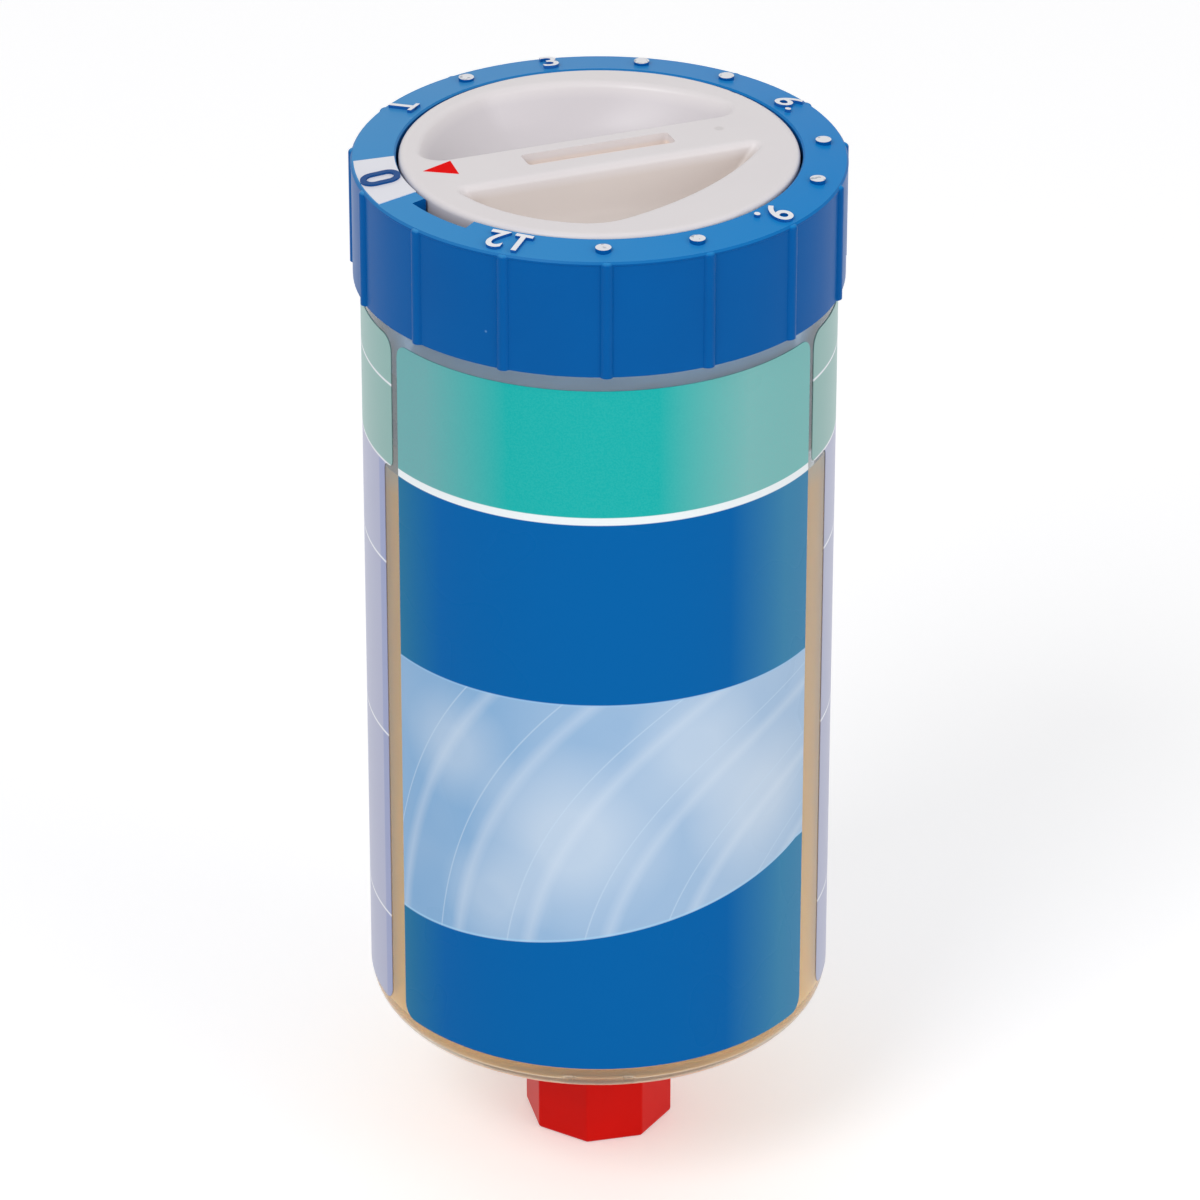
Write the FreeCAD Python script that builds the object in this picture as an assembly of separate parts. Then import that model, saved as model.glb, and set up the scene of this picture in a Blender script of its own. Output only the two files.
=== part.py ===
import FreeCAD, Part

import math
import os

# Automatic lubricator with a timer dial, in millimetres.
# +Z is up, the front faces -Y, and the origin is at the centre of the plug's underside.
# Angles round the body are measured from the front, positive towards +X.

# Driving dimensions of the body
BODY_RADIUS = 26.0
BODY_WALL = 2.0
BODY_CORNER = 3.7
FLOOR_THICKNESS = 2.2
FLOOR_CORNER = 2.5
NECK_STEP = 0.7
NECK_HEIGHT = 4.75
SNAP_BEAD = 0.35
SNAP_BEAD_RISE = 1.5
SNAP_BEAD_WIDTH = 1.5

# Driving dimensions of the grease, a charge of 125 ml, and the piston over it
GREASE_DEPTH = 69.1
PISTON_HEIGHT = 9.6
PISTON_FACE = 2.4
PISTON_WALL = 1.8
PISTON_PLAY = 0.3
PISTON_SEAL_HEIGHT = 2.4
PISTON_SEAL_DEPTH = 2.6
PISTON_HEADROOM = 1.7

# Driving dimensions of the outlet and its plug
THREAD_RADIUS = 6.58
NOZZLE_LENGTH = 13.8
NOZZLE_END_GAP = 1.2
THREAD_LEAD = 0.8
OUTLET_RADIUS = 2.5
PLUG_WALL = 1.19
PLUG_FLOOR = 2.4
PLUG_SIDES = 8
PLUG_CORNER_ANGLE = -9.0
PLUG_ROUNDING = 0.5
WASHER_THICKNESS = 1.2

# Driving dimensions of the carrier in the container's mouth and what it holds
CARRIER_PLAY = 0.4
CARRIER_WALL = 1.2
CARRIER_FLOOR = 1.5
CARRIER_FLANGE = 1.0
CAP_SEAL_THICKNESS = 0.8
CELL_RING_WALL = 1.0
CELL_RING_HEIGHT = 2.0
CELL_SIDE_ROOM = 8.6
GAS_CELL_HEIGHT = 9.3
GAS_CELL_WALL_GAP = 4.4
GAS_CELL_ROUNDING = 0.8
BATTERY_RADIUS = 5.8
BATTERY_HEIGHT = 5.4
BATTERY_COUNT = 3
BATTERY_SPACING = 1.0
BOARD_THICKNESS = 1.2
BOARD_PLAY = 0.2
LEDGE_WIDTH = 1.2
CHIP_SIDE = 5.0
CHIP_HEIGHT = 1.1
WIPER_SPACE = 2.4
WIPER_LENGTH = 6.0
WIPER_WIDTH = 3.0
WIPER_CLEARANCE = 1.0
WIPER_STRIP = 0.3
SPRING_WIDTH = 3.0
SPRING_STRIP = 0.25
POST_RADIUS = 2.2
POST_WALL_GAP = 0.7
POST_ANGLES = (-35.0, -145.0)
SCREW_RADIUS = 0.8
SCREW_HEAD_RADIUS = 1.5
SCREW_HEAD_HEIGHT = 0.9
SCREW_DEPTH = 4.0

# Driving dimensions of the cap
CAP_OVERHANG = 1.3
RING_WIDTH = 5.28
RING_RISE = 0.6
RING_EDGE_BEVEL = 0.2
RING_LIP_REACH = 0.08
RING_LIP_HEIGHT = 0.45
RIB_COUNT = 15
RIB_ANGLE = 1.7
RIB_ROUNDING = 0.75
RIB_HEIGHT = 0.45
ZERO_ANGLE = -74.0
FIRST_MONTH_ANGLE = 45.0
MONTH_STEP = 24.0
DOT_MONTHS = (2, 4, 5, 7, 8, 10, 11)
DOT_RADIUS = 0.85
DOT_RELIEF = 0.4
NOTCH_SPAN = (-57.0, -36.5)
NOTCH_WIDTH = 1.7
PLATE_SPAN = (-86.5, -61.9)
PLATE_DEPTH = 0.8
PLATE_RIM = 0.35
PLATE_BORE_GAP = 0.15
PLATE_PROUD = 0.08

# Driving dimensions of the dial
DIAL_GAP = 0.3
DIAL_PROUD = 0.2
DIAL_FLOOR = 1.6
DIAL_FLANGE = 1.6
DIAL_FLANGE_REACH = 1.3
DIAL_RIM_ROUNDING = 0.7
DIAL_SEAL_RISE = 1.1
DIAL_SEAL_HEIGHT = 1.8
DIAL_SEAL_DEPTH = 1.1
RIDGE_ANGLE = -69.0
RIDGE_HALF_WIDTH = 3.8
POCKET_DEPTH = 5.8
POCKET_KNEE = 7.0
POCKET_LIP = 0.9
FRONT_POCKET = {"side": 1, "rim": 3.32, "flattening": 3.8, "tip": 0.8}
BACK_POCKET = {"side": -1, "rim": 2.1, "flattening": 1.6, "tip": 2.2}
POCKET_BULGE_ANGLES = (147.0, 109.0, 59.6)
POCKET_LEVELS = ((0.48, 1.0), (0.70, 0.86), (0.86, 0.50), (1.0, 0.0), (1.03, -0.12))
COIN_SLOT = (17.0, 2.8)
COIN_SLOT_DEPTH = 1.3
COIN_SLOT_OFFSET = 0.3
SLOT_ROUNDING = 0.5
CORE_WIDTH = 3.6
CORE_ROOF = 3.2
CORE_END = 2.9
ARROW_RIM = 2.0
ARROW_LENGTH = 3.5
ARROW_HALF_WIDTH = 1.75
ARROW_DEPTH = 0.5
ARROW_PROUD = 0.03
ARROW_OFFSET = 0.6

# Driving dimensions of the labels
LABEL_THICKNESS = 0.08
LABEL_FOOT_GAP = 3.8
LABEL_CAP_GAP = 2.05
LABEL_CORNER = 1.7
FRONT_LABEL = (-56.3, 60.2)
REAR_LABEL = (73.0, 295.7)

# Fits and small clearances
RUNNING_FIT = 0.05
THREAD_FIT = 0.08
SNUG_FIT = 0.04
AXIAL_GAP = 0.2
SEAL_PLAY = 0.1
OVERLAP = 0.5

# Heights, from the plug's underside up through the grease, the piston and the cells to the dial
body_bottom = PLUG_FLOOR + NOZZLE_END_GAP + NOZZLE_LENGTH
plug_top = body_bottom - WASHER_THICKNESS
nozzle_end = body_bottom - NOZZLE_LENGTH
floor_top = body_bottom + FLOOR_THICKNESS
grease_top = floor_top + GREASE_DEPTH
piston_top = grease_top + PISTON_HEIGHT
carrier_bottom = piston_top + PISTON_HEADROOM
cell_seat = carrier_bottom + CARRIER_FLOOR
board_bottom = cell_seat + GAS_CELL_HEIGHT
board_top = board_bottom + BOARD_THICKNESS
dial_bottom = board_top + WIPER_SPACE
carrier_top = dial_bottom - AXIAL_GAP
cap_shoulder = carrier_top
carrier_flange_top = cap_shoulder - CAP_SEAL_THICKNESS
neck_top = carrier_flange_top - CARRIER_FLANGE
cap_bottom = neck_top - NECK_HEIGHT
bead_low = cap_bottom + SNAP_BEAD_RISE
bead_high = bead_low + SNAP_BEAD_WIDTH
dial_flange_top = dial_bottom + DIAL_FLANGE
lip_bottom = dial_flange_top + AXIAL_GAP
dial_seal_low = lip_bottom + DIAL_SEAL_RISE
dial_seal_high = dial_seal_low + DIAL_SEAL_HEIGHT
notch_floor = dial_seal_high + SEAL_PLAY
dial_top = dial_bottom + DIAL_FLOOR + POCKET_DEPTH
ring_inner_z = dial_top - DIAL_PROUD
ring_edge_z = ring_inner_z - RING_RISE
label_bottom = body_bottom + LABEL_FOOT_GAP
label_top = cap_bottom - LABEL_CAP_GAP

# Radii of the container, its neck and the piston
bore_radius = BODY_RADIUS - BODY_WALL
neck_radius = BODY_RADIUS - NECK_STEP
skirt_radius = neck_radius + SNUG_FIT
piston_radius = bore_radius - PISTON_PLAY
piston_groove_radius = bore_radius - PISTON_SEAL_DEPTH
piston_seal_low = grease_top + FLOOR_CORNER + 1.0
piston_seal_high = piston_seal_low + PISTON_SEAL_HEIGHT

# Radii of the plug
plug_bore = THREAD_RADIUS + THREAD_FIT
plug_flat_radius = plug_bore + PLUG_WALL
plug_corner_radius = plug_flat_radius / math.cos(math.pi / PLUG_SIDES)

# Radii of the cap and the dial
cap_radius = BODY_RADIUS + CAP_OVERHANG
panel_radius = cap_radius - RIB_HEIGHT
ring_lip_radius = panel_radius + RING_LIP_REACH
ring_bore = cap_radius - RING_WIDTH
dial_radius = ring_bore - DIAL_GAP
dial_flange_radius = dial_radius + DIAL_FLANGE_REACH
flange_cavity = dial_flange_radius + 2.0 * DIAL_GAP
dial_groove_radius = dial_radius - DIAL_SEAL_DEPTH
arrow_tip_radius = dial_radius - ARROW_RIM
arrow_base_radius = arrow_tip_radius - ARROW_LENGTH

# Places in the carrier: a row of cells on one side, the gas cell in the room they leave, posts beside it
carrier_radius = bore_radius - CARRIER_PLAY
carrier_inside = carrier_radius - CARRIER_WALL
board_radius = carrier_inside - BOARD_PLAY
ledge_radius = board_radius - LEDGE_WIDTH
battery_orbit = carrier_inside - BATTERY_RADIUS - 2.0 * CELL_RING_WALL
battery_chord = 2.0 * BATTERY_RADIUS + BATTERY_SPACING
battery_step = 2.0 * math.degrees(math.asin(battery_chord / (2.0 * battery_orbit)))
gas_cell_radius = carrier_inside - BATTERY_RADIUS - CELL_SIDE_ROOM
gas_cell_orbit = carrier_inside - gas_cell_radius - GAS_CELL_WALL_GAP
post_orbit = carrier_inside - POST_RADIUS - POST_WALL_GAP
wiper_tip_radius = post_orbit - SCREW_HEAD_RADIUS - WIPER_CLEARANCE


def place(radius, angle):
    turn = math.radians(angle)
    return radius * math.sin(turn), -radius * math.cos(turn)


def vector(radius, angle, z=0.0):
    x, y = place(radius, angle)
    return FreeCAD.Vector(x, y, z)


def cylinder(radius, low, high, centre=(0.0, 0.0)):
    base = FreeCAD.Vector(centre[0], centre[1], low)
    return Part.makeCylinder(radius, high - low, base)


def tube(inner, outer, low, high):
    return cylinder(outer, low, high).cut(cylinder(inner, low - 1.0, high + 1.0))


def revolved(outline):
    # Turn a closed outline of (radius, height) points about the axis
    points = [FreeCAD.Vector(radius, 0.0, z) for radius, z in outline]
    face = Part.Face(Part.makePolygon(points + points[:1]))
    return face.revolve(FreeCAD.Vector(0, 0, 0), FreeCAD.Vector(0, 0, 1), 360.0)


def sector(radius, start, end, low, high):
    # Solid wedge of a disc between two angles round the body
    middle = (start + end) / 2.0
    arc = Part.Arc(vector(radius, start, low), vector(radius, middle, low), vector(radius, end, low))
    centre = FreeCAD.Vector(0, 0, low)
    sides = [
        Part.makeLine(centre, vector(radius, start, low)),
        arc.toShape(),
        Part.makeLine(vector(radius, end, low), centre),
    ]
    face = Part.Face(Part.Wire(sides))
    return face.extrude(FreeCAD.Vector(0, 0, high - low))


def edges_where(shape, test):
    return [edge for edge in shape.Edges if test(edge)]


def at_height(edge, z):
    box = edge.BoundBox
    return abs(box.ZMin - z) < 0.001 and abs(box.ZMax - z) < 0.001


def reach(edge):
    # Largest distance of an edge's ends and middle from the axis
    ends = [vertex.Point for vertex in edge.Vertexes]
    ends.append(edge.valueAt((edge.FirstParameter + edge.LastParameter) / 2.0))
    return max(math.hypot(point.x, point.y) for point in ends)


def rounded_ring(inner, outer, low, high, rounding):
    ring = tube(inner, outer, low, high)
    return ring.makeFillet(rounding, edges_where(ring, lambda e: at_height(e, low) or at_height(e, high)))


def ring_height(radius):
    # Height of the sloping face of the cap's ring at a radius
    slope = RING_RISE / (cap_radius - ring_bore)
    return ring_edge_z + slope * (cap_radius - radius)


def make_container():
    # Clear cup with a rounded foot, a stepped neck with a snap bead and an outlet nozzle
    bead_radius = neck_radius + SNAP_BEAD
    cup = revolved([
        (0.0, body_bottom),
        (BODY_RADIUS, body_bottom),
        (BODY_RADIUS, cap_bottom),
        (neck_radius, cap_bottom),
        (neck_radius, bead_low),
        (bead_radius, bead_low + SNAP_BEAD),
        (bead_radius, bead_high - SNAP_BEAD),
        (neck_radius, bead_high),
        (neck_radius, neck_top),
        (0.0, neck_top),
    ])
    foot = edges_where(cup, lambda e: at_height(e, body_bottom) and abs(reach(e) - BODY_RADIUS) < 0.01)
    cup = cup.makeFillet(BODY_CORNER, foot)
    hollow = cylinder(bore_radius, floor_top, neck_top + OVERLAP)
    hollow = hollow.makeFillet(FLOOR_CORNER, edges_where(hollow, lambda e: at_height(e, floor_top)))
    nozzle = revolved([
        (0.0, nozzle_end),
        (THREAD_RADIUS - THREAD_LEAD, nozzle_end),
        (THREAD_RADIUS, nozzle_end + THREAD_LEAD),
        (THREAD_RADIUS, body_bottom + OVERLAP),
        (0.0, body_bottom + OVERLAP),
    ])
    outlet = cylinder(OUTLET_RADIUS, nozzle_end - OVERLAP, floor_top + OVERLAP)
    return cup.fuse(nozzle).cut(hollow).cut(outlet).removeSplitter()


def make_rib(angle):
    # Round upright grip rib that runs the cap's full height and rounds over at the ring's edge
    rib = cylinder(RIB_ROUNDING, cap_bottom, ring_edge_z, place(cap_radius - RIB_ROUNDING, angle))
    return rib.makeFillet(RIB_HEIGHT, edges_where(rib, lambda e: at_height(e, ring_edge_z)))


def make_dot(month):
    # Raised round mark of a month that has no numeral
    angle = ZERO_ANGLE - FIRST_MONTH_ANGLE - (month - 1) * MONTH_STEP
    middle = (ring_bore + cap_radius) / 2.0 - AXIAL_GAP
    top = ring_height(middle) + DOT_RELIEF
    return cylinder(DOT_RADIUS, top - DOT_RELIEF - OVERLAP, top, place(middle, angle))


def make_cap():
    # Moulded head: ribbed skirt, thin lip, sloping ring with raised dots, and the dial's bore
    lip_top = ring_height(ring_lip_radius)
    lip_low = lip_top - RING_LIP_HEIGHT
    bevel = RING_EDGE_BEVEL
    groove_radius = skirt_radius + SNAP_BEAD
    cap = revolved([
        (skirt_radius, cap_bottom),
        (panel_radius, cap_bottom),
        (panel_radius, lip_low),
        (ring_lip_radius, lip_low + RING_LIP_REACH),
        (ring_lip_radius, lip_top - bevel),
        (ring_lip_radius - bevel, ring_height(ring_lip_radius - bevel)),
        (ring_bore + bevel, ring_height(ring_bore + bevel)),
        (ring_bore, ring_inner_z - bevel),
        (ring_bore, lip_bottom),
        (flange_cavity, lip_bottom),
        (flange_cavity, cap_shoulder),
        (skirt_radius, cap_shoulder),
        (skirt_radius, bead_high),
        (groove_radius, bead_high - SNAP_BEAD),
        (groove_radius, bead_low + SNAP_BEAD),
        (skirt_radius, bead_low),
    ])
    cap = cap.fuse([make_rib(RIB_ANGLE + index * 360.0 / RIB_COUNT) for index in range(RIB_COUNT)])
    cap = cap.fuse([make_dot(month) for month in DOT_MONTHS])
    notch = sector(ring_bore + NOTCH_WIDTH, NOTCH_SPAN[0], NOTCH_SPAN[1], notch_floor, ring_inner_z + OVERLAP)
    return cap.cut(notch).cut(plate_recess()).removeSplitter()


def plate_recess():
    # Shallow seat of the zero plate in the ring
    low = ring_edge_z - PLATE_DEPTH
    outer = ring_lip_radius - PLATE_RIM
    wedge = sector(outer, PLATE_SPAN[0], PLATE_SPAN[1], low, ring_inner_z + OVERLAP)
    return wedge.cut(cylinder(ring_bore + PLATE_BORE_GAP, low - OVERLAP, ring_inner_z + 2.0 * OVERLAP))


def make_zero_plate():
    # White plate of the zero position, sloping with the ring
    low = ring_edge_z - PLATE_DEPTH - OVERLAP
    slope = revolved([
        (ring_bore, low),
        (cap_radius, low),
        (cap_radius, ring_height(cap_radius) + PLATE_PROUD),
        (ring_bore, ring_height(ring_bore) + PLATE_PROUD),
    ])
    return plate_recess().common(slope)


def along_ridge(radius, angle, side):
    # Point of a pocket's outline, with the angle counted from the ridge's far end
    turn = math.radians(angle)
    return FreeCAD.Vector(radius * math.cos(turn), -side * radius * math.sin(turn), 0)


def pocket_reach(pocket):
    return dial_radius - pocket["rim"]


def pocket_outline(pocket):
    # Half-moon beside the ridge: straight flank, round outer end and a flatter run to the far tip
    near_angle, knee_angle, far_angle = POCKET_BULGE_ANGLES
    side = pocket["side"]
    pocket_radius = pocket_reach(pocket)
    tip = math.sqrt(pocket_radius ** 2 - RIDGE_HALF_WIDTH ** 2)
    near_tip = FreeCAD.Vector(-tip, -side * RIDGE_HALF_WIDTH, 0)
    far_tip = FreeCAD.Vector(tip, -side * RIDGE_HALF_WIDTH, 0)
    near_bulge = along_ridge(pocket_radius, near_angle, side)
    knee = along_ridge(pocket_radius, knee_angle, side)
    far_bulge = along_ridge(pocket_radius - pocket["flattening"], far_angle, side)
    return Part.Wire([
        Part.makeLine(far_tip, near_tip),
        Part.Arc(near_tip, near_bulge, knee).toShape(),
        Part.Arc(knee, far_bulge, far_tip).toShape(),
    ])


def make_pocket(pocket):
    # Scooped pocket: a sharp-tipped outline that shrinks downwards to a small floor
    block = Part.Face(pocket_outline(pocket)).extrude(FreeCAD.Vector(0, 0, 1.0))
    upright = edges_where(block, lambda e: e.BoundBox.ZLength > 0.9)
    knees = [edge for edge in upright if abs(edge.BoundBox.Center.y) > RIDGE_HALF_WIDTH + OVERLAP]
    block = block.makeFillet(POCKET_KNEE, knees)
    upright = edges_where(block, lambda e: e.BoundBox.ZLength > 0.9)
    tips = [edge for edge in upright if abs(edge.BoundBox.Center.x) > pocket_reach(pocket) - 3.0 * OVERLAP]
    block = block.makeFillet(pocket["tip"], tips)
    base = [face for face in block.Faces if abs(face.BoundBox.ZMax) < 0.001][0]
    levels = []
    for share, depth in POCKET_LEVELS:
        level = base.OuterWire.copy()
        level.scale(share, base.CenterOfMass)
        level.translate(FreeCAD.Vector(0, 0, dial_top - depth * POCKET_DEPTH))
        levels.append(level)
    scoop = Part.makeLoft(levels, True, False)
    scoop.rotate(FreeCAD.Vector(0, 0, 0), FreeCAD.Vector(0, 0, 1), RIDGE_ANGLE + 90.0)
    return scoop


def make_slot(length, width, low, high, across=0.0):
    # Slot along the ridge with lightly rounded corners
    slot = Part.makeBox(length, width, high - low, FreeCAD.Vector(-length / 2.0, across - width / 2.0, low))
    slot = slot.makeFillet(SLOT_ROUNDING, edges_where(slot, lambda e: e.BoundBox.ZLength > 0.1))
    slot.rotate(FreeCAD.Vector(0, 0, 0), FreeCAD.Vector(0, 0, 1), RIDGE_ANGLE + 90.0)
    return slot


def make_dial():
    # Moulded timer dial: grip ridge between two scooped pockets, coin slot, seal groove and snap flange
    dial = revolved([
        (0.0, dial_bottom),
        (dial_flange_radius, dial_bottom),
        (dial_flange_radius, dial_flange_top),
        (dial_radius, dial_flange_top),
        (dial_radius, dial_seal_low),
        (dial_groove_radius, dial_seal_low),
        (dial_groove_radius, dial_seal_high),
        (dial_radius, dial_seal_high),
        (dial_radius, dial_top),
        (0.0, dial_top),
    ])
    back_reach = pocket_reach(BACK_POCKET)
    rim = edges_where(dial, lambda e: at_height(e, dial_top) and reach(e) > back_reach)
    dial = dial.makeFillet(DIAL_RIM_ROUNDING, rim)
    dial = dial.cut(make_pocket(FRONT_POCKET)).cut(make_pocket(BACK_POCKET))
    inside_rim = (dial_radius - DIAL_RIM_ROUNDING + back_reach) / 2.0
    lips = edges_where(dial, lambda e: at_height(e, dial_top) and reach(e) < inside_rim)
    dial = dial.makeFillet(POCKET_LIP, lips)
    length, width = COIN_SLOT
    coin_slot = make_slot(length, width, dial_top - COIN_SLOT_DEPTH, dial_top + OVERLAP, COIN_SLOT_OFFSET)
    core_length = 2.0 * (pocket_reach(FRONT_POCKET) - CORE_END)
    core = make_slot(core_length, CORE_WIDTH, dial_bottom - OVERLAP, dial_top - CORE_ROOF)
    return dial.cut(coin_slot).cut(core).cut(arrow_prism(0.0)).removeSplitter()


def arrow_prism(proud):
    # Arrow let into the dial's rim, pointing at the set month
    angle = ZERO_ANGLE + ARROW_OFFSET
    half_turn = math.degrees(math.atan2(ARROW_HALF_WIDTH, arrow_base_radius))
    base_reach = math.hypot(arrow_base_radius, ARROW_HALF_WIDTH)
    low = dial_top - ARROW_DEPTH
    corners = [
        vector(arrow_tip_radius, angle, low),
        vector(base_reach, angle + half_turn, low),
        vector(base_reach, angle - half_turn, low),
    ]
    face = Part.Face(Part.makePolygon(corners + corners[:1]))
    return face.extrude(FreeCAD.Vector(0, 0, ARROW_DEPTH + proud))


def make_dial_seal():
    low = dial_seal_low + SEAL_PLAY
    high = dial_seal_high - SEAL_PLAY
    return rounded_ring(dial_groove_radius, ring_bore - RUNNING_FIT, low, high, DIAL_SEAL_HEIGHT / 4.5)


def extruded_strip(profile, y_profile, start, width):
    # Bent strip of even width: its profile stands in the YZ plane, or in the XZ plane
    if y_profile:
        points = [FreeCAD.Vector(start, along, z) for along, z in profile]
        across = FreeCAD.Vector(width, 0, 0)
    else:
        points = [FreeCAD.Vector(along, start, z) for along, z in profile]
        across = FreeCAD.Vector(0, width, 0)
    return Part.Face(Part.makePolygon(points + points[:1])).extrude(across)


def make_dial_contact():
    # Sprung wiper under the dial that reads the set month from the board's track
    strip = WIPER_STRIP
    tip = -wiper_tip_radius
    root = tip + WIPER_LENGTH
    heel = root + WIPER_WIDTH
    toe = tip + WIPER_LENGTH / 3.0
    low = board_top + SEAL_PLAY
    contact = extruded_strip([
        (heel, dial_bottom),
        (root, dial_bottom),
        (toe, low + strip),
        (tip, low + strip),
        (tip, low),
        (toe + strip, low),
        (root + strip, dial_bottom - strip),
        (heel, dial_bottom - strip),
    ], True, -WIPER_WIDTH / 2.0, WIPER_WIDTH)
    split_width = 2.0 * strip
    corner = FreeCAD.Vector(-split_width / 2.0, tip - OVERLAP, low - OVERLAP)
    split = Part.makeBox(split_width, WIPER_LENGTH / 2.0, WIPER_SPACE + 2.0 * OVERLAP, corner)
    return contact.cut(split)


def make_cap_seal():
    return tube(bore_radius, neck_radius, carrier_flange_top, cap_shoulder)


def battery_places():
    # Row of cells round the carrier's right side
    middle = (BATTERY_COUNT - 1) / 2.0
    return [place(battery_orbit, 90.0 + (index - middle) * battery_step) for index in range(BATTERY_COUNT)]


def gas_cell_place():
    return place(gas_cell_orbit, -90.0)


def post_places():
    return [place(post_orbit, angle) for angle in POST_ANGLES]


def make_cell_carrier():
    # Cup in the container's mouth with a clamped flange, a board ledge, cell rings and screw posts
    ledge_low = board_bottom - LEDGE_WIDTH
    carrier = revolved([
        (0.0, carrier_bottom),
        (carrier_radius, carrier_bottom),
        (carrier_radius, neck_top),
        (neck_radius, neck_top),
        (neck_radius, carrier_flange_top),
        (carrier_radius - SNUG_FIT, carrier_flange_top),
        (carrier_radius - SNUG_FIT, carrier_top),
        (carrier_inside, carrier_top),
        (carrier_inside, board_bottom),
        (ledge_radius, board_bottom),
        (ledge_radius, ledge_low),
        (carrier_inside, ledge_low - LEDGE_WIDTH),
        (carrier_inside, cell_seat),
        (0.0, cell_seat),
    ])
    cells = [(BATTERY_RADIUS, centre) for centre in battery_places()]
    cells.append((gas_cell_radius, gas_cell_place()))
    ring_top = cell_seat + CELL_RING_HEIGHT
    sunk = cell_seat - OVERLAP
    rings = [cylinder(radius + CELL_RING_WALL, sunk, ring_top, centre) for radius, centre in cells]
    posts = [cylinder(POST_RADIUS, sunk, board_bottom, centre) for centre in post_places()]
    carrier = carrier.fuse(rings + posts)
    for radius, centre in cells:
        carrier = carrier.cut(cylinder(radius + SNUG_FIT, cell_seat, ring_top + OVERLAP, centre))
    for centre in post_places():
        hole_low = board_bottom - SCREW_DEPTH - OVERLAP
        carrier = carrier.cut(cylinder(SCREW_RADIUS, hole_low, board_bottom + OVERLAP, centre))
    vent = cylinder(CARRIER_FLOOR, carrier_bottom - OVERLAP, cell_seat + OVERLAP, gas_cell_place())
    return carrier.cut(vent).removeSplitter()


def make_control_board():
    board = cylinder(board_radius, board_bottom, board_top)
    for centre in post_places():
        board = board.cut(cylinder(SCREW_RADIUS, board_bottom - OVERLAP, board_top + OVERLAP, centre))
    return board


def make_control_chip():
    corner = FreeCAD.Vector(-CHIP_SIDE / 2.0, -CHIP_SIDE / 2.0, board_top)
    return Part.makeBox(CHIP_SIDE, CHIP_SIDE, CHIP_HEIGHT, corner)


def make_board_screw(centre):
    # Pan-head screw through the board into a post of the carrier
    head_top = board_top + SCREW_HEAD_HEIGHT
    head = cylinder(SCREW_HEAD_RADIUS, board_top, head_top, centre)
    shank = cylinder(SCREW_RADIUS, board_bottom - SCREW_DEPTH, board_top, centre)
    drive = cylinder(SCREW_HEAD_RADIUS / 3.0, board_top + SCREW_HEAD_HEIGHT / 2.0, head_top + OVERLAP, centre)
    return head.fuse(shank).cut(drive).removeSplitter()


def make_gas_cell():
    # Crimped metal can that gives off the gas, with a small outlet over the carrier's vent
    can = cylinder(gas_cell_radius, cell_seat, board_bottom, gas_cell_place())
    rims = edges_where(can, lambda e: at_height(e, cell_seat) or at_height(e, board_bottom))
    can = can.makeFillet(GAS_CELL_ROUNDING, rims)
    outlet_radius = 0.4 * CARRIER_FLOOR
    return can.cut(cylinder(outlet_radius, cell_seat - OVERLAP, cell_seat + 2.0 * OVERLAP, gas_cell_place()))


def make_battery_cell(centre):
    # Button cell with a raised smaller pole
    body = cylinder(BATTERY_RADIUS, cell_seat, cell_seat + BATTERY_HEIGHT - OVERLAP, centre)
    pole = cylinder(BATTERY_RADIUS - 2.0 * OVERLAP, cell_seat, cell_seat + BATTERY_HEIGHT, centre)
    return body.fuse(pole).removeSplitter()


def make_contact_spring(centre):
    # Bent leaf between the board and the pole of a cell
    strip = SPRING_STRIP
    x, y = centre
    root = x - SPRING_WIDTH
    bend = x + 0.8 * SPRING_WIDTH
    knee = x - 0.3 * SPRING_WIDTH
    pole = cell_seat + BATTERY_HEIGHT
    return extruded_strip([
        (root, board_bottom - strip),
        (bend, board_bottom - strip),
        (knee, pole + strip),
        (root, pole + strip),
        (root, pole),
        (knee + strip, pole),
        (bend + 2.0 * strip, board_bottom),
        (root, board_bottom),
    ], False, y - SPRING_WIDTH / 2.0, SPRING_WIDTH)


def make_piston():
    # Cup-shaped follower with a chamfered foot, a seal groove and a thick ring behind the groove
    hollow_floor = grease_top + PISTON_FACE
    thick_radius = piston_groove_radius - PISTON_WALL
    thick_top = piston_seal_high + PISTON_WALL / 1.5
    chamfer = FLOOR_CORNER + PISTON_PLAY
    return revolved([
        (0.0, grease_top),
        (piston_radius - chamfer, grease_top),
        (piston_radius, grease_top + chamfer),
        (piston_radius, piston_seal_low),
        (piston_groove_radius, piston_seal_low),
        (piston_groove_radius, piston_seal_high),
        (piston_radius, piston_seal_high),
        (piston_radius, piston_top),
        (piston_radius - PISTON_WALL, piston_top),
        (piston_radius - PISTON_WALL, thick_top),
        (thick_radius, thick_top),
        (thick_radius, hollow_floor),
        (0.0, hollow_floor),
    ])


def make_piston_seal():
    low = piston_seal_low + SEAL_PLAY
    high = piston_seal_high - SEAL_PLAY
    return rounded_ring(piston_groove_radius, bore_radius - RUNNING_FIT, low, high, PISTON_SEAL_HEIGHT / 3.5)


def make_grease():
    charge = cylinder(bore_radius, floor_top, grease_top)
    return charge.makeFillet(FLOOR_CORNER, edges_where(charge, lambda e: at_height(e, floor_top)))


def make_label(span):
    # Thin wrapped label with rounded corners
    outer = BODY_RADIUS + LABEL_THICKNESS
    start, end = span
    middle = (start + end) / 2.0
    wedge = sector(outer, start, middle, label_bottom, label_top)
    wedge = wedge.fuse(sector(outer, middle, end, label_bottom, label_top)).removeSplitter()
    label = wedge.cut(cylinder(BODY_RADIUS, label_bottom - OVERLAP, label_top + OVERLAP)).removeSplitter()
    corners = edges_where(label, lambda e: e.BoundBox.ZLength < 0.001 and abs(e.Length - LABEL_THICKNESS) < 0.001)
    return label.makeFillet(LABEL_CORNER, corners)


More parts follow.
